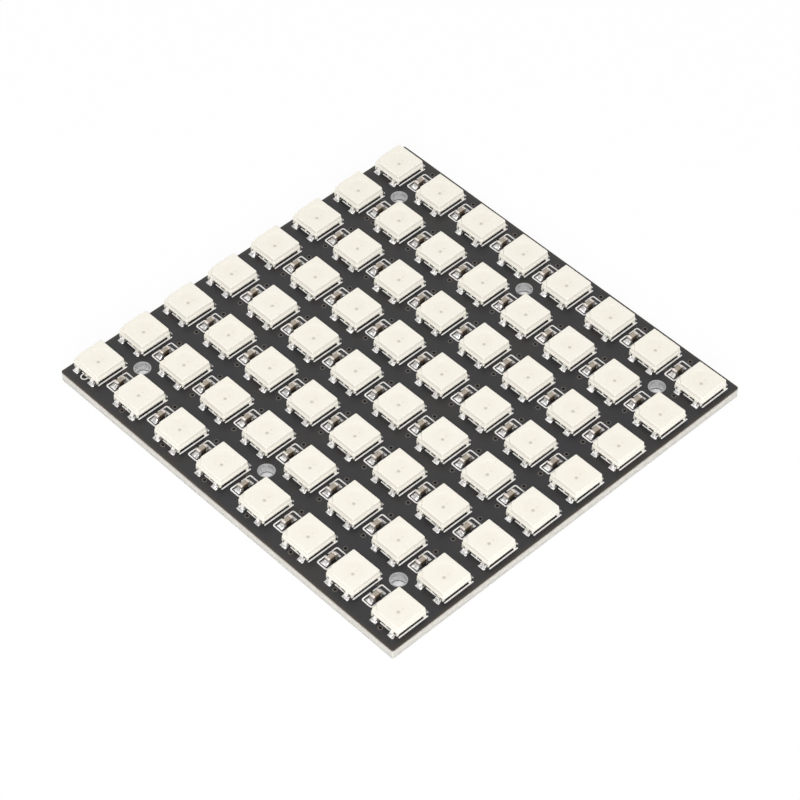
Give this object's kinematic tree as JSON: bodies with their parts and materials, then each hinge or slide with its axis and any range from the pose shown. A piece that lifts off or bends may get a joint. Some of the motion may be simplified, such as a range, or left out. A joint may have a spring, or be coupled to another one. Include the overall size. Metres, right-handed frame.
{
  "type": "rgb led matrix panel",
  "caption": "Square black circuit board that carries a grid of surface mounted colour LEDs with a chip capacitor beside each, and screw holes between them.",
  "frame": {"origin": "centre of the board's underside", "axes": "+X along a row of LEDs from the first to the last, +Y from the first row to the last, +Z out of the LED side"},
  "size_m": [0.0654, 0.0642, 0.0033],
  "materials": {
    "board": "satin",
    "led_housing": "satin",
    "led_resin": "satin",
    "tin": "satin",
    "capacitor_ceramic": "satin",
    "capacitor_metal": "satin"
  },
  "bodies": {
    "root": {"circuit_board": "board", "wire_pads": "tin", "led_housings_row_1": "led_housing", "led_resin_row_1": "led_resin", "led_leads_row_1": "tin", "led_housings_row_2": "led_housing", "led_resin_row_2": "led_resin", "led_leads_row_2": "tin", "led_housings_row_3": "led_housing", "led_resin_row_3": "led_resin", "led_leads_row_3": "tin", "led_housings_row_4": "led_housing", "led_resin_row_4": "led_resin", "led_leads_row_4": "tin", "led_housings_row_5": "led_housing", "led_resin_row_5": "led_resin", "led_leads_row_5": "tin", "led_housings_row_6": "led_housing", "led_resin_row_6": "led_resin", "led_leads_row_6": "tin", "led_housings_row_7": "led_housing", "led_resin_row_7": "led_resin", "led_leads_row_7": "tin", "led_housings_row_8": "led_housing", "led_resin_row_8": "led_resin", "led_leads_row_8": "tin", "capacitor_bodies_gap_1": "capacitor_ceramic", "capacitor_ends_gap_1": "capacitor_metal", "capacitor_bodies_gap_2": "capacitor_ceramic", "capacitor_ends_gap_2": "capacitor_metal", "capacitor_bodies_gap_3": "capacitor_ceramic", "capacitor_ends_gap_3": "capacitor_metal", "capacitor_bodies_gap_4": "capacitor_ceramic", "capacitor_ends_gap_4": "capacitor_metal", "capacitor_bodies_gap_5": "capacitor_ceramic", "capacitor_ends_gap_5": "capacitor_metal", "capacitor_bodies_gap_6": "capacitor_ceramic", "capacitor_ends_gap_6": "capacitor_metal", "capacitor_bodies_gap_7": "capacitor_ceramic", "capacitor_ends_gap_7": "capacitor_metal"}
  },
  "joints": []
}
